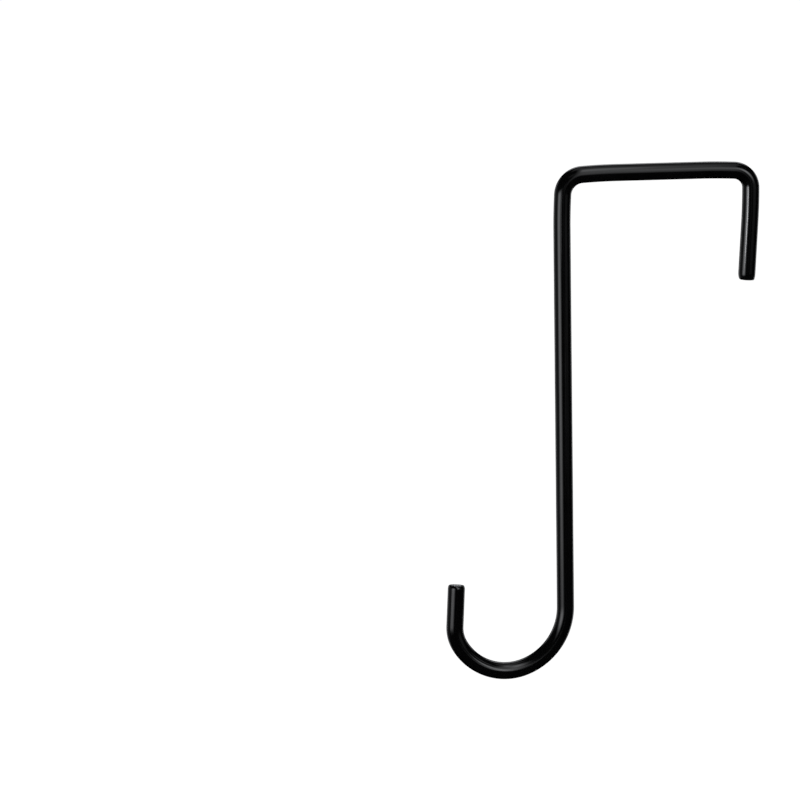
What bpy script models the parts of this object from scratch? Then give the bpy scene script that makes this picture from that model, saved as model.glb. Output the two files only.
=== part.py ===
"""Fence hook: one steel rod in a vinyl sheath, bent cold into a clip and a bowl.

The clip is a square arch that drops over a fence rail, and its free leg leans in so that it grips.
The bowl is an open round hook at the foot of the long leg, and its load is lifted in over the tip.

Metres, +Z up. The hook lies in the XZ plane. The origin is where the underside of the bar sits on
the middle of the rail, with the long leg at -X and the free leg of the clip at +X.
"""

from math import cos, pi, radians, sin

import bmesh
import bpy
from mathutils import Matrix, Vector

# Rod and sheath
ROD_DIAMETER = 0.0060
SHEATH_WALL = 0.0011
SHEATH_CLEARANCE = 0.0003

# Clip: clear width under the bar, depth from the bar's underside to the cut end, and the pins
# that the bare rod is bent round at the two corners
RAIL_SPACE = 0.0909
CLIP_DEPTH = 0.0531
CLIP_TOE_IN = radians(3.8)
LEG_CORNER_PIN_DIAMETER = 0.0156
CLIP_CORNER_PIN_DIAMETER = 0.0123

# Beside each corner the rod bows a little over this length, because it gives before the pin
BOW_LENGTH = 0.0180
BOW_TURN = radians(3.3)

# Long leg and bowl: height from the floor of the bowl up to the bar's underside, and the three
# formers that the bare rod is bent round, each tighter than the last: beside the leg, across the
# bowl's floor, and up to the tip
DROP = 0.2485
BOWL_LEG_FORMER_RADIUS = 0.0300
BOWL_LEG_TURN = radians(70)
BOWL_FLOOR_FORMER_RADIUS = 0.0248
BOWL_FLOOR_TURN = radians(80)
BOWL_TIP_FORMER_RADIUS = 0.0150
TIP_STRAIGHT = 0.0215
TIP_LEAN = radians(2.8)

# One flat of this turn lies level across the bowl's lowest point, as the seat of the load
SEAT_TURN = radians(6)

# Cut ends: the sheath's outer rim is rounded, and the sawn rod has a small chamfer
LIP_ROUND = 0.0009
SAW_CHAMFER = 0.0003

# Facets: sides of a section, and steps of a bend. A flat of each section faces along X, Y and Z.
SIDES = 24
CORNER_STEPS = 14
BOW_STEPS = 3
BOWL_LEG_STEPS = 11
BEFORE_SEAT_STEPS = 3
BEYOND_SEAT_STEPS = 9
BOWL_TIP_STEPS = 6
LIP_STEPS = 4

# Worked out from the sizes above
ROD_RADIUS = ROD_DIAMETER / 2
BORE_RADIUS = ROD_RADIUS + SHEATH_CLEARANCE
SHEATH_RADIUS = BORE_RADIUS + SHEATH_WALL
AXIS_TO_FLAT = SHEATH_RADIUS * cos(pi / SIDES)
LEG_CORNER_RADIUS = LEG_CORNER_PIN_DIAMETER / 2 + ROD_RADIUS
CLIP_CORNER_RADIUS = CLIP_CORNER_PIN_DIAMETER / 2 + ROD_RADIUS
BOW_RADIUS = BOW_LENGTH / BOW_TURN
BOWL_LEG_RADIUS = BOWL_LEG_FORMER_RADIUS + ROD_RADIUS
BOWL_FLOOR_RADIUS = BOWL_FLOOR_FORMER_RADIUS + ROD_RADIUS
BOWL_TIP_RADIUS = BOWL_TIP_FORMER_RADIUS + ROD_RADIUS

# Bends. The bowl's lowest point comes a quarter turn after the leg.
QUARTER_TURN = pi / 2
CLIP_TURN = QUARTER_TURN + CLIP_TOE_IN
BEFORE_SEAT_TURN = QUARTER_TURN - SEAT_TURN / 2 - BOWL_LEG_TURN
BEYOND_SEAT_TURN = BOWL_LEG_TURN + BOWL_FLOOR_TURN - QUARTER_TURN - SEAT_TURN / 2
BOWL_TIP_TURN = 2 * QUARTER_TURN + TIP_LEAN - BOWL_LEG_TURN - BOWL_FLOOR_TURN

# Heights and places of the rod's axis
BAR_HEIGHT = AXIS_TO_FLAT
BOWL_FLOOR_HEIGHT = -DROP - AXIS_TO_FLAT
LEG_PLACE = -RAIL_SPACE / 2 - AXIS_TO_FLAT
BOWL_DEPTH = BOWL_FLOOR_RADIUS + (BOWL_LEG_RADIUS - BOWL_FLOOR_RADIUS) * sin(BOWL_LEG_TURN)
LEG_FOOT_HEIGHT = BOWL_FLOOR_HEIGHT + BOWL_DEPTH

ACROSS = Vector((0, 1, 0))
UP = Vector((0, 0, 1))


def off_line(radius, start, end):
    """How far an arc from one heading to another carries the rod off the line of heading zero."""
    return radius * (cos(start) - cos(end))


def setback(radius, turn):
    """How much of a straight a bowed corner takes up, measured from where both straights meet."""
    first_bow = off_line(BOW_RADIUS, 0, BOW_TURN)
    round_pin = off_line(radius, BOW_TURN, turn - BOW_TURN)
    second_bow = off_line(BOW_RADIUS, turn - BOW_TURN, turn)
    return (first_bow + round_pin + second_bow) / sin(turn)


# Straight stretches between the bends
LEG_SETBACK = setback(LEG_CORNER_RADIUS, QUARTER_TURN)
CLIP_SETBACK = setback(CLIP_CORNER_RADIUS, CLIP_TURN)
LEG_STRAIGHT = BAR_HEIGHT - LEG_FOOT_HEIGHT - LEG_SETBACK
BAR_STRAIGHT = RAIL_SPACE + 2 * AXIS_TO_FLAT - LEG_SETBACK - CLIP_SETBACK
CLIP_STRAIGHT = (CLIP_DEPTH + BAR_HEIGHT) / cos(CLIP_TOE_IN) - CLIP_SETBACK


def edges_of(geometry):
    return [element for element in geometry if isinstance(element, bmesh.types.BMEdge)]


def verts_of(edges):
    return list({vert for edge in edges for vert in edge.verts})


class Bender:
    """Draws a ring of edges along the rod's route, as a bench bender feeds and bends a rod.

    Every bend turns the heading about +Y, because both ways from the long leg the hook curls
    clockwise, seen with +X to the right.
    """

    def __init__(self, mesh, ring, place, heading):
        self.mesh = mesh
        self.ring = ring
        self.place = place.copy()
        self.heading = heading.copy()

    def feed(self, length):
        """Draws the ring straight on."""
        step = self.heading * length
        drawn = bmesh.ops.extrude_edge_only(self.mesh, edges=self.ring)
        self.ring = edges_of(drawn["geom"])
        bmesh.ops.translate(self.mesh, verts=verts_of(self.ring), vec=step)
        self.place += step

    def bend(self, radius, turn, steps):
        """Draws the ring round a former, leaving the rod's axis at this radius."""
        towards_former = ACROSS.cross(self.heading)
        centre = self.place + towards_former * radius
        spun = bmesh.ops.spin(
            self.mesh, geom=self.ring, cent=centre, axis=ACROSS, angle=turn, steps=steps
        )
        self.ring = edges_of(spun["geom_last"])
        rotation = Matrix.Rotation(turn, 3, ACROSS)
        self.place = centre - rotation @ towards_former * radius
        self.heading = rotation @ self.heading

    def bowed_corner(self, radius, turn):
        """Bends the rod round a pin, with a slight bow before and after it."""
        self.bend(BOW_RADIUS, BOW_TURN, BOW_STEPS)
        self.bend(radius, turn - 2 * BOW_TURN, CORNER_STEPS)
        self.bend(BOW_RADIUS, BOW_TURN, BOW_STEPS)


def bend_clip(bender):
    """From the foot of the long leg: up, over the rail, and down the other side."""
    bender.feed(LEG_STRAIGHT)
    bender.bowed_corner(LEG_CORNER_RADIUS, QUARTER_TURN)
    bender.feed(BAR_STRAIGHT)
    bender.bowed_corner(CLIP_CORNER_RADIUS, CLIP_TURN)
    bender.feed(CLIP_STRAIGHT)
    return bender.ring


def bend_bowl(bender):
    """From the foot of the long leg: round the bowl, ever tighter, and up the tip."""
    bender.bend(BOWL_LEG_RADIUS, BOWL_LEG_TURN, BOWL_LEG_STEPS)
    bender.bend(BOWL_FLOOR_RADIUS, BEFORE_SEAT_TURN, BEFORE_SEAT_STEPS)
    bender.bend(BOWL_FLOOR_RADIUS, SEAT_TURN, 1)
    bender.bend(BOWL_FLOOR_RADIUS, BEYOND_SEAT_TURN, BEYOND_SEAT_STEPS)
    bender.bend(BOWL_TIP_RADIUS, BOWL_TIP_TURN, BOWL_TIP_STEPS)
    bender.feed(TIP_STRAIGHT)
    return bender.ring


def section_ring(mesh, radius):
    """The section's ring of edges at the foot of the long leg, turned so that flats face X and Y."""
    foot = Matrix.Translation((LEG_PLACE, 0, LEG_FOOT_HEIGHT))
    half_side = Matrix.Rotation(pi / SIDES, 4, UP)
    made = bmesh.ops.create_circle(mesh, segments=SIDES, radius=radius, matrix=foot @ half_side)
    return list({edge for vert in made["verts"] for edge in vert.link_edges})


def drawn_wall(mesh, radius):
    """A wall of this radius along the whole route, and the rings of edges at its two ends."""
    ring = section_ring(mesh, radius)
    foot = Vector((LEG_PLACE, 0, LEG_FOOT_HEIGHT))
    clip_end = bend_clip(Bender(mesh, ring, foot, UP))
    tip_end = bend_bowl(Bender(mesh, ring, foot, -UP))
    return clip_end, tip_end


def rod_mesh():
    """The rod, sawn square at both ends, with the saw's burr taken off."""
    mesh = bmesh.new()
    clip_end, tip_end = drawn_wall(mesh, ROD_RADIUS)
    bmesh.ops.contextual_create(mesh, geom=clip_end)
    bmesh.ops.contextual_create(mesh, geom=tip_end)
    bmesh.ops.recalc_face_normals(mesh, faces=mesh.faces)
    bmesh.ops.bevel(
        mesh, geom=clip_end + tip_end, offset=SAW_CHAMFER, segments=1, affect="EDGES"
    )
    return mesh


def join_rims(mesh, outer_rim, bore_rim):
    """Closes a cut end of the sheath with a flat ring of faces, from its outside to its bore."""
    bore_verts = verts_of(bore_rim)

    def through_wall(vert):
        return min(bore_verts, key=lambda other: (other.co - vert.co).length)

    for edge in outer_rim:
        first, second = edge.verts
        mesh.faces.new((first, second, through_wall(second), through_wall(first)))


def sheath_mesh():
    """The sheath, a tube open at both cut ends, with its outer rims rounded over."""
    mesh = bmesh.new()
    clip_rim, tip_rim = drawn_wall(mesh, SHEATH_RADIUS)
    clip_bore, tip_bore = drawn_wall(mesh, BORE_RADIUS)
    join_rims(mesh, clip_rim, clip_bore)
    join_rims(mesh, tip_rim, tip_bore)
    bmesh.ops.recalc_face_normals(mesh, faces=mesh.faces)
    bmesh.ops.bevel(
        mesh,
        geom=clip_rim + tip_rim,
        offset=LIP_ROUND,
        segments=LIP_STEPS,
        profile=0.5,
        affect="EDGES",
    )
    return mesh


def material(name, colour, roughness, metallic):
    made = bpy.data.materials.new(name)
    made.use_nodes = True
    shader = made.node_tree.nodes["Principled BSDF"]
    shader.inputs["Base Color"].default_value = (*colour, 1)
    shader.inputs["Roughness"].default_value = roughness
    shader.inputs["Metallic"].default_value = metallic
    return made


def add_object(name, bm, finish):
    """Turns a finished mesh into an object of its own, with round forms shaded smooth."""
    bmesh.ops.recalc_face_normals(bm, faces=bm.faces)
    mesh = bpy.data.meshes.new(name)
    bm.to_mesh(mesh)
    bm.free()
    mesh.shade_smooth()
    mesh.set_sharp_from_angle(angle=radians(40))
    mesh.materials.append(finish)
    made = bpy.data.objects.new(name, mesh)
    bpy.context.collection.objects.link(made)
    return made


def add_steel_rod():
    bare_steel = material("bare_steel", (0.42, 0.43, 0.44), 0.38, 1.0)
    return add_object("steel_rod", rod_mesh(), bare_steel)


def add_vinyl_sheath():
    black_vinyl = material("black_vinyl", (0.012, 0.012, 0.013), 0.22, 0.0)
    return add_object("vinyl_sheath", sheath_mesh(), black_vinyl)


def clear_scene():
    for old in list(bpy.data.objects):
        bpy.data.objects.remove(old, do_unlink=True)


clear_scene()
add_steel_rod()
add_vinyl_sheath()
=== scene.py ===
"""The looks of the fence hook: a bent steel rod in a glossy black vinyl sheath, in a white studio.

Metres, in the frame of the CAD model. The hook lies in the XZ plane with the long leg at -X, and the
origin is under the middle of the bar.
"""

from math import ceil, cos, pi, radians, sin, tan

import bpy
from mathutils import Matrix, Vector, noise


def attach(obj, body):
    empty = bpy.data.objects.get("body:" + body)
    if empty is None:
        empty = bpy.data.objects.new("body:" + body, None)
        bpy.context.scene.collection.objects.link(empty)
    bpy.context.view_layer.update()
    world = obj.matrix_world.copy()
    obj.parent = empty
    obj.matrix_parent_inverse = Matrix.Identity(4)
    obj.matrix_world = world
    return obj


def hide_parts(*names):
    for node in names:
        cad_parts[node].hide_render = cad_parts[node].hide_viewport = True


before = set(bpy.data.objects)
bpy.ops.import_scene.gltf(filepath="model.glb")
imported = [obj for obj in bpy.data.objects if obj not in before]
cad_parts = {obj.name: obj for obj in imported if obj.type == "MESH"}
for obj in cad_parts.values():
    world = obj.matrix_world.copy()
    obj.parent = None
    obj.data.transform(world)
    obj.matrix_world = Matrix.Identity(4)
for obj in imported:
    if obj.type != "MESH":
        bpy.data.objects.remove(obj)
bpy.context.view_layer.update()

# Rod and sheath. The coating is bonded to the steel, so only a hair of room is left between them.
ROD_DIAMETER = 0.0060
SHEATH_DIAMETER = 0.0088
BOND_ROOM = 0.00003

# Clip, long leg and bowl, as the CAD model has them. Its sheath has flats for what it bears on, which
# lie a little nearer to the rod's axis than the round outside here.
CAD_SIDES = 24
RAIL_SPACE = 0.0909
CLIP_DEPTH = 0.0531
CLIP_TOE_IN = radians(3.8)
LEG_CORNER_RADIUS = 0.0108
CLIP_CORNER_RADIUS = 0.00915
BOW_LENGTH = 0.0180
BOW_TURN = radians(3.3)
DROP = 0.2485
BOWL_LEG_RADIUS = 0.0330
BOWL_LEG_TURN = radians(70)
BOWL_FLOOR_RADIUS = 0.0278
BOWL_FLOOR_TURN = radians(80)
BOWL_TIP_RADIUS = 0.0180
TIP_STRAIGHT = 0.0215
TIP_LEAN = radians(2.8)

# Cut ends of the sheath: how far back the coating starts to draw in at a lip, how far it comes in, and
# how much more it does so on one side of the lip, then the rounding of the bore's edge
CLIP_LIP_REACH = 0.0037
CLIP_LIP_DEPTH = 0.00095
CLIP_LIP_SLANT_SHARE = -0.26
TIP_LIP_REACH = 0.0020
TIP_LIP_DEPTH = 0.0008
TIP_LIP_SLANT_SHARE = 0.1
BORE_ROUND = 0.00015

# Sawn steel: the chamfer round the face, and the shallow arcs that a round blade left across it
SAW_CHAMFER = 0.0003
SAW_DEPTH = 0.000012
SAW_PITCH = 0.00055
SAW_SWEEP = 0.030

# Fineness of the meshes, and the angle from which an edge is shaded as a sharp one
SHEATH_SIDES = 80
ROD_SIDES = 96
STRAIGHT_STEP = 0.0020
BOW_STEP = radians(0.4)
CORNER_STEP = radians(3)
BOWL_STEP = radians(2)
LIP_STEPS = 14
BORE_ROUND_STEPS = 3
FACE_RINGS = 26
SHARP_ANGLE = radians(40)

# The coating's slow waves along and around the rod
WAVE_HEIGHT = 0.000025
WAVE_LENGTH = 0.016

# Patterns in the materials. A scale is about how many patches of a pattern fit in a metre, and a stretch
# below 1 draws them out along that axis. A noise mostly keeps to the range from its start to its end.
NOISE_DETAIL = 2.0
NOISE_START = 0.3
NOISE_END = 0.7

# Glossy coating: clouds in its black, orange peel, and streaks from drawing it along the rod
DEEP_BLACK = (0.0006, 0.0006, 0.00065)
WORN_BLACK = (0.0011, 0.0011, 0.0012)
BLACK_CLOUD_SCALE = 90
PEEL_SCALE = 650
STREAK_SCALE = 900
STREAK_STRETCH = (1, 1, 0.03)
COATING_RELIEF = 0.000004
COATING_ROUGHNESS = (0.08, 0.13)
COATING_IOR = 1.52

# Coating where it is cut across
CUT_BLACK = (0.003, 0.003, 0.003)
TORN_BLACK = (0.007, 0.007, 0.007)
CUT_CLOUD_SCALE = 1500
CUT_MATT_SCALE = 3000
CUT_TEAR_SCALE = 4000
CUT_RELIEF = 0.00002
CUT_ROUGHNESS = (0.38, 0.55)

# Bare steel, and the fine scratches across it
DARK_STEEL = (0.40, 0.41, 0.42)
BRIGHT_STEEL = (0.62, 0.63, 0.64)
STEEL_CLOUD_SCALE = 700
SCRATCH_SCALE = 9000
SCRATCH_STRETCH = (0.08, 1, 1)
SCRATCH_RELIEF = 0.000006
STEEL_ROUGHNESS = (0.32, 0.50)

# Floor and surroundings
FLOOR_HEIGHT = -0.60
FLOOR_SIDE = 80.0
FLOOR_WHITE = (0.91, 0.91, 0.91)
FLOOR_BRIGHT_WHITE = (0.94, 0.94, 0.94)
FLOOR_CLOUD_SCALE = 0.6
FLOOR_MATT_SCALE = 3
FLOOR_ROUGHNESS = (0.7, 0.9)
SURROUNDINGS_STRENGTH = 1.1

# Worked out from the sizes above
ROD_RADIUS = ROD_DIAMETER / 2
SHEATH_RADIUS = SHEATH_DIAMETER / 2
BORE_RADIUS = ROD_RADIUS + BOND_ROOM
AXIS_TO_SEAT = SHEATH_RADIUS * cos(pi / CAD_SIDES)
QUARTER_TURN = pi / 2
CLIP_TURN = QUARTER_TURN + CLIP_TOE_IN
BOW_RADIUS = BOW_LENGTH / BOW_TURN
BOWL_TIP_TURN = pi + TIP_LEAN - BOWL_LEG_TURN - BOWL_FLOOR_TURN
BOWL_DEPTH = BOWL_FLOOR_RADIUS + (BOWL_LEG_RADIUS - BOWL_FLOOR_RADIUS) * sin(BOWL_LEG_TURN)
LEG_PLACE = -RAIL_SPACE / 2 - AXIS_TO_SEAT
LEG_FOOT_HEIGHT = -DROP - AXIS_TO_SEAT + BOWL_DEPTH

# Camera, matched to the photograph: the pixel where one place near the hook's middle lands, and the scale
PHOTO_SIDE_PIXELS = 800
MATCHED_PLACE = Vector((-0.02991, 0, -0.12564))
MATCHED_PIXEL = (602.0, 423.3)
PIXELS_PER_METRE = 1941.18
VIEW_AZIMUTH = -8.5
VIEW_ELEVATION = 8.0
VIEW_ROLL = radians(-0.52)
VIEW_DISTANCE = 12.0
SENSOR_WIDTH = 36.0

# Lights: where they are aimed, how far off they stand, how widely the narrowed ones shine, their colour
HOOK_MIDDLE = Vector((-0.030, 0, -0.125))
BAR_MIDDLE = Vector((0, 0, 0.004))
BAR_LEG_END = Vector((-0.022, 0, 0.004))
CLIP_CORNER = Vector((0.045, 0, 0))
CLIP_MIDDLE = Vector((0.044, 0, -0.022))
CLIP_TOP = Vector((0.045, 0, -0.008))
LEG_TOP = Vector((-0.050, 0, -0.060))
BOWL_MIDDLE = Vector((-0.082, 0, -0.235))
TIP_MIDDLE = Vector((-0.107, 0, -0.213))
FAR = 1.5
MIDWAY = 1.0
NEAR = 0.3
CLOSE = 0.2
NARROW = radians(54)
TIGHT = radians(30)
LIGHT_COLOUR = (0.975, 0.99, 1.015)

ACROSS = Vector((0, 1, 0))
UP = Vector((0, 0, 1))


def direction(azimuth, elevation):
    """Unit vector towards a place round the hook: azimuth 0 is in front, at -Y, and 90 is at +X."""
    a, e = radians(azimuth), radians(elevation)
    return Vector((sin(a) * cos(e), -cos(a) * cos(e), sin(e)))


class Route:
    """The rod's axis, as stations along it: each a place, a heading and the length drawn so far."""

    def __init__(self, place, heading):
        self.stations = [(place.copy(), heading.copy(), 0.0)]

    def feed(self, length):
        """Draws the rod straight on."""
        count = ceil(length / STRAIGHT_STEP)
        place, heading, drawn = self.stations[-1]
        for index in range(1, count + 1):
            gone = length * index / count
            self.stations.append((place + heading * gone, heading.copy(), drawn + gone))

    def bend(self, radius, turn, step):
        """Bends the rod in the plane of the hook, always the same way round."""
        count = ceil(turn / step)
        place, heading, drawn = self.stations[-1]
        towards_centre = ACROSS.cross(heading)
        centre = place + towards_centre * radius
        for index in range(1, count + 1):
            turned = turn * index / count
            rotation = Matrix.Rotation(turned, 3, ACROSS)
            here = centre - rotation @ towards_centre * radius
            self.stations.append((here, rotation @ heading, drawn + radius * turned))

    def bowed_corner(self, radius, turn):
        """A corner bend, with a slight bow before and after it."""
        self.bend(BOW_RADIUS, BOW_TURN, BOW_STEP)
        self.bend(radius, turn - 2 * BOW_TURN, CORNER_STEP)
        self.bend(BOW_RADIUS, BOW_TURN, BOW_STEP)


def setback(radius, turn):
    """How much of a straight a bowed corner takes up, measured from where both straights meet."""
    bows = BOW_RADIUS * (1 - cos(BOW_TURN) + cos(turn - BOW_TURN) - cos(turn))
    return (bows + radius * (cos(BOW_TURN) - cos(turn - BOW_TURN))) / sin(turn)


def hook_route(clip_cut_back, tip_cut_back):
    """Stations from the clip's cut end to the tip's, stopping this far short of the cuts.

    Both sides are drawn from the foot of the long leg, so the clip's side is turned round at the end.
    """
    foot = Vector((LEG_PLACE, 0, LEG_FOOT_HEIGHT))
    leg_setback = setback(LEG_CORNER_RADIUS, QUARTER_TURN)
    clip_setback = setback(CLIP_CORNER_RADIUS, CLIP_TURN)
    clip_side = Route(foot, UP)
    clip_side.feed(AXIS_TO_SEAT - LEG_FOOT_HEIGHT - leg_setback)
    clip_side.bowed_corner(LEG_CORNER_RADIUS, QUARTER_TURN)
    clip_side.feed(RAIL_SPACE + 2 * AXIS_TO_SEAT - leg_setback - clip_setback)
    clip_side.bowed_corner(CLIP_CORNER_RADIUS, CLIP_TURN)
    clip_side.feed((CLIP_DEPTH + AXIS_TO_SEAT) / cos(CLIP_TOE_IN) - clip_setback - clip_cut_back)
    bowl_side = Route(foot, -UP)
    bowl_side.bend(BOWL_LEG_RADIUS, BOWL_LEG_TURN, BOWL_STEP)
    bowl_side.bend(BOWL_FLOOR_RADIUS, BOWL_FLOOR_TURN, BOWL_STEP)
    bowl_side.bend(BOWL_TIP_RADIUS, BOWL_TIP_TURN, BOWL_STEP)
    bowl_side.feed(TIP_STRAIGHT - tip_cut_back)
    reversed_clip = [(p, -h, -drawn) for p, h, drawn in reversed(clip_side.stations)]
    return reversed_clip + bowl_side.stations[1:]


def ring(station, radius, ahead, sides, aside=0.0):
    """One ring of a section: points in space, and the same points on the rod if it were straight.

    The ring's middle can lie aside from the rod's axis, in the plane of the hook.
    """
    place, heading, drawn = station
    side = ACROSS.cross(heading)
    bent, straight = [], []
    for index in range(sides):
        angle = 2 * pi * index / sides
        outwards = side * cos(angle) + ACROSS * sin(angle)
        bent.append(place + heading * ahead + side * aside + outwards * radius)
        straight.append(Vector((radius * cos(angle), radius * sin(angle), drawn + ahead)))
    return bent, straight


def waved(rings):
    """Moves each point in or out a little, as the coating's thickness varies along the rod."""
    rings = list(rings)
    for (place, heading, _), (bent, straight) in rings:
        for index, point in enumerate(straight):
            height = WAVE_HEIGHT * noise.noise(point / WAVE_LENGTH)
            outwards = bent[index] - place
            outwards -= heading * outwards.dot(heading)
            bent[index] += outwards.normalized() * height
    return rings


def lip_rings(station, onwards, reach, depth, slant_share):
    """Rings round a cut lip, from the outside of the wall to its bore.

    The outside draws in along a quarter of an ellipse. Onwards is 1 or -1, along the heading or
    against it.
    """
    rings = []
    for index in range(1, LIP_STEPS + 1):
        angle = QUARTER_TURN * index / LIP_STEPS
        drawn_in = depth * (1 - cos(angle))
        ahead = onwards * reach * sin(angle)
        aside = -slant_share * drawn_in
        rings.append((station, ring(station, SHEATH_RADIUS - drawn_in, ahead, SHEATH_SIDES, aside)))
    for index in range(BORE_ROUND_STEPS + 1):
        angle = QUARTER_TURN * index / BORE_ROUND_STEPS
        radius = BORE_RADIUS + BORE_ROUND * (1 - sin(angle))
        ahead = onwards * (reach - BORE_ROUND * (1 - cos(angle)))
        rings.append((station, ring(station, radius, ahead, SHEATH_SIDES)))
    return rings


def make_object(name, bent, straight, faces, finishes, finish_of_face):
    """Builds a mesh with the as_straight attribute, which the coating's streaks follow."""
    mesh = bpy.data.meshes.new(name)
    mesh.from_pydata(bent, [], faces)
    for finish in finishes:
        mesh.materials.append(finish)
    mesh.polygons.foreach_set("material_index", finish_of_face)
    attribute = mesh.attributes.new("as_straight", "FLOAT_VECTOR", "POINT")
    attribute.data.foreach_set("vector", [value for point in straight for value in point])
    mesh.shade_smooth()
    mesh.set_sharp_from_angle(angle=SHARP_ANGLE)
    made = bpy.data.objects.new(name, mesh)
    bpy.context.scene.collection.objects.link(made)
    return made


def band(first, second, sides):
    """Quads between two rings, given by the number of their first points."""
    return [
        (first + k, second + k, second + (k + 1) % sides, first + (k + 1) % sides)
        for k in range(sides)
    ]


def add_sheath(gloss, cut):
    """The sheath as a closed run of rings: its outside, the tip's lip, its bore, the clip's lip."""
    stations = hook_route(CLIP_LIP_REACH, TIP_LIP_REACH)
    rings = [(s, ring(s, SHEATH_RADIUS, 0, SHEATH_SIDES)) for s in stations]
    rings += lip_rings(stations[-1], 1, TIP_LIP_REACH, TIP_LIP_DEPTH, TIP_LIP_SLANT_SHARE)
    rings = waved(rings)
    outside_count = len(rings)
    rings += [(s, ring(s, BORE_RADIUS, 0, SHEATH_SIDES)) for s in reversed(stations)]
    clip_lip = lip_rings(stations[0], -1, CLIP_LIP_REACH, CLIP_LIP_DEPTH, CLIP_LIP_SLANT_SHARE)
    rings += waved(reversed(clip_lip))
    bent, straight, faces, finish_of_face = [], [], [], []
    for _, (ring_bent, ring_straight) in rings:
        bent += ring_bent
        straight += ring_straight

    # The flat of each cut and the rounding of the bore's edge are cut vinyl, and the outside is glossy
    bore_end = outside_count + len(stations)
    for index in range(len(rings)):
        following = (index + 1) % len(rings)
        faces += band(index * SHEATH_SIDES, following * SHEATH_SIDES, SHEATH_SIDES)
        on_tip_lip = len(stations) + LIP_STEPS - 1 <= index < outside_count
        on_clip_lip = bore_end <= index < bore_end + BORE_ROUND_STEPS + 1
        finish_of_face += [1 if on_tip_lip or on_clip_lip else 0] * SHEATH_SIDES
    return make_object("sheath", bent, straight, faces, [gloss, cut], finish_of_face)


def sawn(point, middle):
    """How far a point of a cut face stands proud: the blade left shallow arcs across the steel."""
    blade_axis = middle + ACROSS * SAW_SWEEP
    from_blade = (point - blade_axis).length
    return SAW_DEPTH * (sin(2 * pi * from_blade / SAW_PITCH) + noise.noise(point / SAW_PITCH))


def face_rings(station, outwards):
    """Rings of a sawn end face, from its chamfer's edge to next to its middle.

    Outwards is along the station's heading at one end of the rod and against it at the other. The
    station lies where the chamfer starts.
    """
    rings = []
    place, heading, _ = station
    edge_radius = ROD_RADIUS - SAW_CHAMFER
    middle = place + outwards * SAW_CHAMFER
    ahead = SAW_CHAMFER * outwards.dot(heading)
    for index in range(FACE_RINGS):
        radius = edge_radius * (1 - index / FACE_RINGS)
        bent, straight = ring(station, radius, ahead, ROD_SIDES)
        bent = [point + outwards * sawn(point, middle) for point in bent]
        rings.append((bent, straight))
    return rings


def add_rod(steel):
    """The rod inside the sheath, sawn square at both ends."""
    stations = hook_route(SAW_CHAMFER, SAW_CHAMFER)
    clip_end, tip_end = stations[0], stations[-1]
    rings = list(reversed(face_rings(clip_end, -clip_end[1])))
    rings += [ring(s, ROD_RADIUS, 0, ROD_SIDES) for s in stations]
    rings += face_rings(tip_end, tip_end[1])
    bent, straight, faces = [], [], []
    for ring_bent, ring_straight in rings:
        bent += ring_bent
        straight += ring_straight
    for index in range(len(rings) - 1):
        faces += band(index * ROD_SIDES, (index + 1) * ROD_SIDES, ROD_SIDES)

    # A fan round its middle point closes each end face
    last = (len(rings) - 1) * ROD_SIDES
    for first, step in ((0, 1), (last, -1)):
        middle = sum((bent[first + k] for k in range(ROD_SIDES)), Vector()) / ROD_SIDES
        bent.append(middle)
        straight.append(sum((straight[first + k] for k in range(ROD_SIDES)), Vector()) / ROD_SIDES)
        for k in range(ROD_SIDES):
            faces.append((first + k, first + (k + step) % ROD_SIDES, len(bent) - 1))
    return make_object("rod", bent, straight, faces, [steel], [0] * len(faces))


class Nodes:
    """Short calls for building one material's nodes."""

    def __init__(self, name):
        self.material = bpy.data.materials.new(name)
        self.material.use_nodes = True
        self.tree = self.material.node_tree
        self.shader = self.tree.nodes["Principled BSDF"]

    def add(self, kind, **values):
        made = self.tree.nodes.new(kind)
        for key, value in values.items():
            setattr(made, key, value)
        return made

    def link(self, source, target):
        self.tree.links.new(source, target)

    def coordinates(self):
        """Places on the rod as if it were straight."""
        return self.add("ShaderNodeAttribute", attribute_name="as_straight").outputs["Vector"]

    def noise(self, source, scale, stretch=(1, 1, 1)):
        """A pattern of soft patches over the places that the source gives."""
        mapping = self.add("ShaderNodeMapping")
        mapping.inputs["Scale"].default_value = [scale * share for share in stretch]
        self.link(source, mapping.inputs["Vector"])
        made = self.add("ShaderNodeTexNoise")
        made.inputs["Scale"].default_value = 1.0
        made.inputs["Detail"].default_value = NOISE_DETAIL
        self.link(mapping.outputs["Vector"], made.inputs["Vector"])
        return made.outputs["Fac"]

    def ramp(self, source, low, high):
        """A value from low to high as the source, a noise, goes from its start to its end."""
        made = self.add("ShaderNodeMapRange")
        made.inputs["From Min"].default_value = NOISE_START
        made.inputs["From Max"].default_value = NOISE_END
        made.inputs["To Min"].default_value = low
        made.inputs["To Max"].default_value = high
        self.link(source, made.inputs["Value"])
        return made.outputs["Result"]

    def colour(self, source, low, high):
        """Gives the shader a colour that goes from low to high with the source."""
        made = self.add("ShaderNodeMix", data_type="RGBA")
        made.inputs["A"].default_value = (*low, 1)
        made.inputs["B"].default_value = (*high, 1)
        self.link(self.ramp(source, 0, 1), made.inputs["Factor"])
        self.link(made.outputs["Result"], self.shader.inputs["Base Color"])

    def bump(self, source, height, normal=None):
        """A relief of this height, on top of another one where its normal is given."""
        made = self.add("ShaderNodeBump")
        made.inputs["Distance"].default_value = height
        self.link(source, made.inputs["Height"])
        if normal is not None:
            self.link(normal, made.inputs["Normal"])
        return made.outputs["Normal"]


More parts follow.
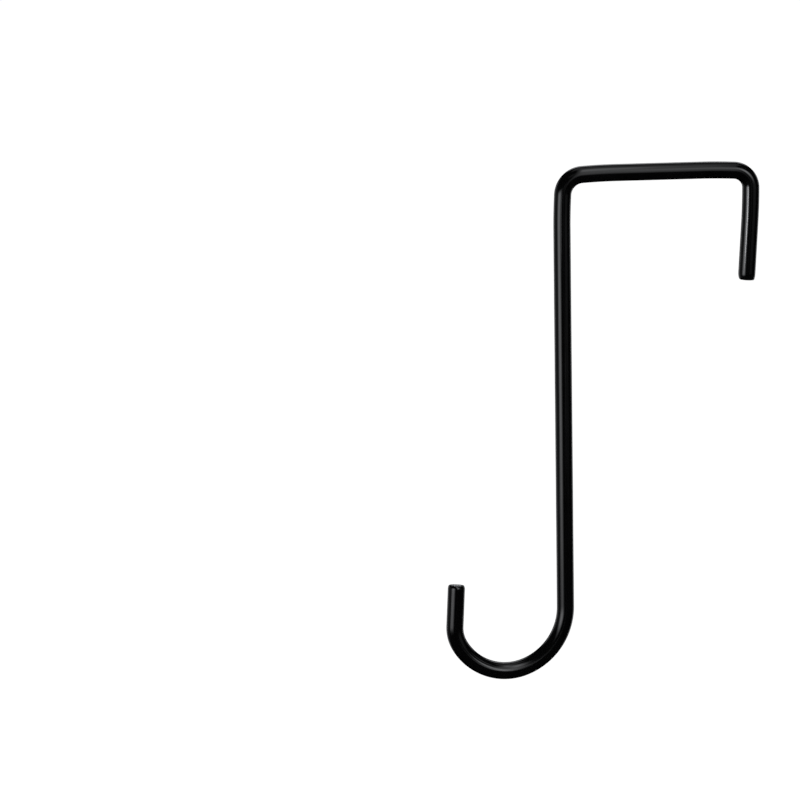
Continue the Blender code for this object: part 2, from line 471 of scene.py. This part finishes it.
def black_vinyl():
    """Glossy black coating: a faint orange peel, long streaks from drawing, and cloudier patches."""
    nodes = Nodes("black_vinyl")
    place = nodes.coordinates()
    nodes.colour(nodes.noise(place, BLACK_CLOUD_SCALE), DEEP_BLACK, WORN_BLACK)
    streaks = nodes.noise(place, STREAK_SCALE, stretch=STREAK_STRETCH)
    nodes.link(nodes.ramp(streaks, *COATING_ROUGHNESS), nodes.shader.inputs["Roughness"])
    normal = nodes.bump(nodes.noise(place, PEEL_SCALE), COATING_RELIEF)
    normal = nodes.bump(streaks, COATING_RELIEF, normal)
    nodes.link(normal, nodes.shader.inputs["Normal"])
    nodes.shader.inputs["IOR"].default_value = COATING_IOR
    return nodes.material


def cut_vinyl():
    """The coating where it is cut across: matt and slightly torn."""
    nodes = Nodes("cut_vinyl")
    place = nodes.coordinates()
    nodes.colour(nodes.noise(place, CUT_CLOUD_SCALE), CUT_BLACK, TORN_BLACK)
    roughness = nodes.ramp(nodes.noise(place, CUT_MATT_SCALE), *CUT_ROUGHNESS)
    nodes.link(roughness, nodes.shader.inputs["Roughness"])
    normal = nodes.bump(nodes.noise(place, CUT_TEAR_SCALE), CUT_RELIEF)
    nodes.link(normal, nodes.shader.inputs["Normal"])
    return nodes.material


def sawn_steel():
    """Bare steel at the cuts, with fine scratches across it."""
    nodes = Nodes("sawn_steel")
    place = nodes.coordinates()
    nodes.shader.inputs["Metallic"].default_value = 1.0
    nodes.colour(nodes.noise(place, STEEL_CLOUD_SCALE), DARK_STEEL, BRIGHT_STEEL)
    scratches = nodes.noise(place, SCRATCH_SCALE, stretch=SCRATCH_STRETCH)
    nodes.link(nodes.ramp(scratches, *STEEL_ROUGHNESS), nodes.shader.inputs["Roughness"])
    nodes.link(nodes.bump(scratches, SCRATCH_RELIEF), nodes.shader.inputs["Normal"])
    return nodes.material


def pale_floor():
    """A plain white matt floor with the least mottling, which can be seen through from below."""
    nodes = Nodes("pale_floor")
    place = nodes.add("ShaderNodeTexCoord").outputs["Object"]
    nodes.colour(nodes.noise(place, FLOOR_CLOUD_SCALE), FLOOR_WHITE, FLOOR_BRIGHT_WHITE)
    roughness = nodes.ramp(nodes.noise(place, FLOOR_MATT_SCALE), *FLOOR_ROUGHNESS)
    nodes.link(roughness, nodes.shader.inputs["Roughness"])
    nodes.shader.inputs["Specular IOR Level"].default_value = 0
    from_below = nodes.add("ShaderNodeNewGeometry").outputs["Backfacing"]
    clear = nodes.add("ShaderNodeBsdfTransparent")
    mixed = nodes.add("ShaderNodeMixShader")
    nodes.link(from_below, mixed.inputs["Fac"])
    nodes.link(nodes.shader.outputs["BSDF"], mixed.inputs[1])
    nodes.link(clear.outputs["BSDF"], mixed.inputs[2])
    nodes.link(mixed.outputs["Shader"], nodes.tree.nodes["Material Output"].inputs["Surface"])
    return nodes.material


def add_floor(finish):
    """A wide plain floor that the gloss doesn't mirror."""
    half = FLOOR_SIDE / 2
    corners = [(-half, -half, 0), (half, -half, 0), (half, half, 0), (-half, half, 0)]
    mesh = bpy.data.meshes.new("floor")
    mesh.from_pydata(corners, [], [(0, 1, 2, 3)])
    mesh.materials.append(finish)
    floor = bpy.data.objects.new("floor", mesh)
    bpy.context.scene.collection.objects.link(floor)
    floor.location.z = FLOOR_HEIGHT
    floor.visible_glossy = False
    return floor


def add_world():
    """White all round for the camera and for soft fill, and dark in the gloss."""
    world = bpy.data.worlds.new("studio")
    world.use_nodes = True
    background = world.node_tree.nodes["Background"]
    background.inputs["Color"].default_value = (1, 1, 1, 1)
    background.inputs["Strength"].default_value = SURROUNDINGS_STRENGTH
    world.cycles_visibility.glossy = False
    bpy.context.scene.world = world


def soften_edges(light, shares):
    """Fades the light out towards its edges, over these shares of its half width and half height.

    A place on the light runs from 0 to 1 along each side, so its edges lie a half from its middle.
    """
    half = 0.5
    light.use_nodes = True
    tree = light.node_tree
    place = tree.nodes.new("ShaderNodeNewGeometry").outputs["Parametric"]
    axes = tree.nodes.new("ShaderNodeSeparateXYZ")
    tree.links.new(place, axes.inputs["Vector"])
    fades = []
    for axis, share in zip("XY", shares):
        from_middle = tree.nodes.new("ShaderNodeMath")
        from_middle.operation = "SUBTRACT"
        from_middle.inputs[1].default_value = half
        tree.links.new(axes.outputs[axis], from_middle.inputs[0])
        distance = tree.nodes.new("ShaderNodeMath")
        distance.operation = "ABSOLUTE"
        tree.links.new(from_middle.outputs["Value"], distance.inputs[0])
        fade = tree.nodes.new("ShaderNodeMapRange")
        fade.interpolation_type = "SMOOTHSTEP"
        fade.inputs["From Min"].default_value = half
        fade.inputs["From Max"].default_value = half * (1 - share)
        tree.links.new(distance.outputs["Value"], fade.inputs["Value"])
        fades.append(fade.outputs["Result"])
    product = tree.nodes.new("ShaderNodeMath")
    product.operation = "MULTIPLY"
    tree.links.new(fades[0], product.inputs[0])
    tree.links.new(fades[1], product.inputs[1])
    tree.links.new(product.outputs["Value"], tree.nodes["Emission"].inputs["Strength"])


def softbox(name, target, middle, half_spans, distance, radiance, edge_shares, spread=pi, turn=0):
    """A soft light that stands in this direction from the target and fills this much of its view.

    The middle and the half spans are each an azimuth and an elevation in degrees. The turn, also in
    degrees, leans the light's top over to the right as seen from the target. At the same radiance
    straight ahead, a narrowed light sends out only a share of a full one's energy.
    """
    light = bpy.data.lights.new(name, "AREA")
    light.shape = "RECTANGLE"
    light.size = 2 * distance * tan(radians(half_spans[0]))
    light.size_y = 2 * distance * tan(radians(half_spans[1]))
    light.spread = spread
    half_spread = spread / 2
    share_sent = 1.0 if spread >= pi else 1 - half_spread / tan(half_spread)
    light.energy = radiance * pi * light.size * light.size_y * share_sent
    light.color = LIGHT_COLOUR
    soften_edges(light, edge_shares)
    made = bpy.data.objects.new(name, light)
    bpy.context.scene.collection.objects.link(made)
    back = direction(*middle)
    made.location = target + back * distance
    made.rotation_mode = "QUATERNION"
    leaning = Matrix.Rotation(radians(turn), 3, back)
    facing = (-back).to_track_quat("-Z", "Y").to_matrix()
    made.rotation_quaternion = (leaning @ facing).to_quaternion()
    made.visible_camera = False
    return made


def add_lights():
    """Stands the lights round the hook, so that each streak in the gloss is the mirror image of one.

    After the target come the middle and the half spans in degrees, the distance, the radiance, the
    shares that fade at the edges and, where a light has them, its spread and its turn.
    """
    # Along the whole hook, from the left
    softbox("left_box", HOOK_MIDDLE, (-51, -2), (31, 16), FAR, 2.8, (1, 0.9))
    softbox("left_back_card", HOOK_MIDDLE, (-116, -3), (35, 33), FAR, 0.14, (0.3, 1))

    # In the clip's free leg alone
    softbox("clip_box", CLIP_MIDDLE, (-43, -4), (4.5, 9), CLOSE, 17, (0.6, 0.8), NARROW, -8)
    softbox("clip_top_box", CLIP_TOP, (-55, -8), (4.5, 3), CLOSE, 2.9, (0.7, 0.8), NARROW)

    # Along the bar and round its corners
    softbox("front_box", BAR_MIDDLE, (7, 39), (19, 50), MIDWAY, 1, (1, 0.7))
    softbox("corner_box", CLIP_CORNER, (35, 24), (21, 41), NEAR, 4, (1, 0.5), NARROW, 55)
    softbox("bar_left_box", BAR_LEG_END, (9, 58), (8, 22), NEAR, 0.93, (0.5, 0.3), NARROW, -15)
    softbox("top_card", BAR_MIDDLE, (143, 86), (27, 26), MIDWAY, 0.33, (0.2, 0.8))

    # In the bowl
    softbox("bowl_low_box", BOWL_MIDDLE, (21, 18), (15, 12), NEAR, 3.2, (0.6, 1), NARROW, 22)
    softbox("bowl_middle_box", BOWL_MIDDLE, (4, 19), (7, 34), NEAR, 1.1, (0.4, 0.2), NARROW, 19)
    softbox("bowl_high_box", BOWL_MIDDLE, (-6, 51), (13, 26), NEAR, 2.3, (1, 0.5), NARROW, 8)
    softbox("bowl_core_box", BOWL_MIDDLE, (10, 8), (3.5, 13), NEAR, 2.6, (0.8, 0.4), TIGHT, -4)

    # The faint streak on the long leg's right, and the one on the tip
    softbox("right_card", LEG_TOP, (47, 0), (20, 15), FAR, 0.15, (0.2, 0.8))
    softbox("tip_box", TIP_MIDDLE, (-68, -5), (3.5, 19), CLOSE, 1.4, (0.9, 0.5), NARROW, 12)

    # Behind the hook
    softbox("back_left_box", HOOK_MIDDLE, (-141, -4), (11, 36), FAR, 1, (0.7, 0.6))
    softbox("back_right_box", HOOK_MIDDLE, (128, -6), (12, 34), FAR, 0.9, (0.7, 0.6))
    softbox("back_high_box", HOOK_MIDDLE, (170, 38), (30, 16), FAR, 1.6, (0.7, 0.7))


def add_camera():
    """Stands where the photograph's view line through the matched place puts it, then pans."""
    data = bpy.data.cameras.new("camera")
    data.sensor_width = SENSOR_WIDTH
    focal_pixels = PIXELS_PER_METRE * VIEW_DISTANCE
    data.lens = focal_pixels * SENSOR_WIDTH / PHOTO_SIDE_PIXELS
    data.clip_end = 2 * FLOOR_SIDE
    camera = bpy.data.objects.new("camera", data)
    bpy.context.scene.collection.objects.link(camera)
    back = direction(VIEW_AZIMUTH, VIEW_ELEVATION)
    facing = (-back).to_track_quat("-Z", "Y").to_matrix()
    pan = (MATCHED_PIXEL[0] - PHOTO_SIDE_PIXELS / 2) / focal_pixels
    tilt = (MATCHED_PIXEL[1] - PHOTO_SIDE_PIXELS / 2) / focal_pixels
    facing = facing @ Matrix.Rotation(VIEW_ROLL, 3, "Z")
    facing = facing @ Matrix.Rotation(pan, 3, "Y") @ Matrix.Rotation(tilt, 3, "X")
    camera.rotation_mode = "QUATERNION"
    camera.rotation_quaternion = facing.to_quaternion()
    camera.location = MATCHED_PLACE + back * VIEW_DISTANCE
    bpy.context.scene.camera = camera


def build():
    """The studio, and then the two pieces of the hook, each in place of its own CAD node."""
    add_camera()
    add_world()
    add_floor(pale_floor())
    add_lights()
    sheath = add_sheath(black_vinyl(), cut_vinyl())
    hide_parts("vinyl_sheath")
    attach(sheath, "root")
    rod = add_rod(sawn_steel())
    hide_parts("steel_rod")
    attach(rod, "root")
    bpy.context.scene.view_settings.view_transform = "Standard"


build()
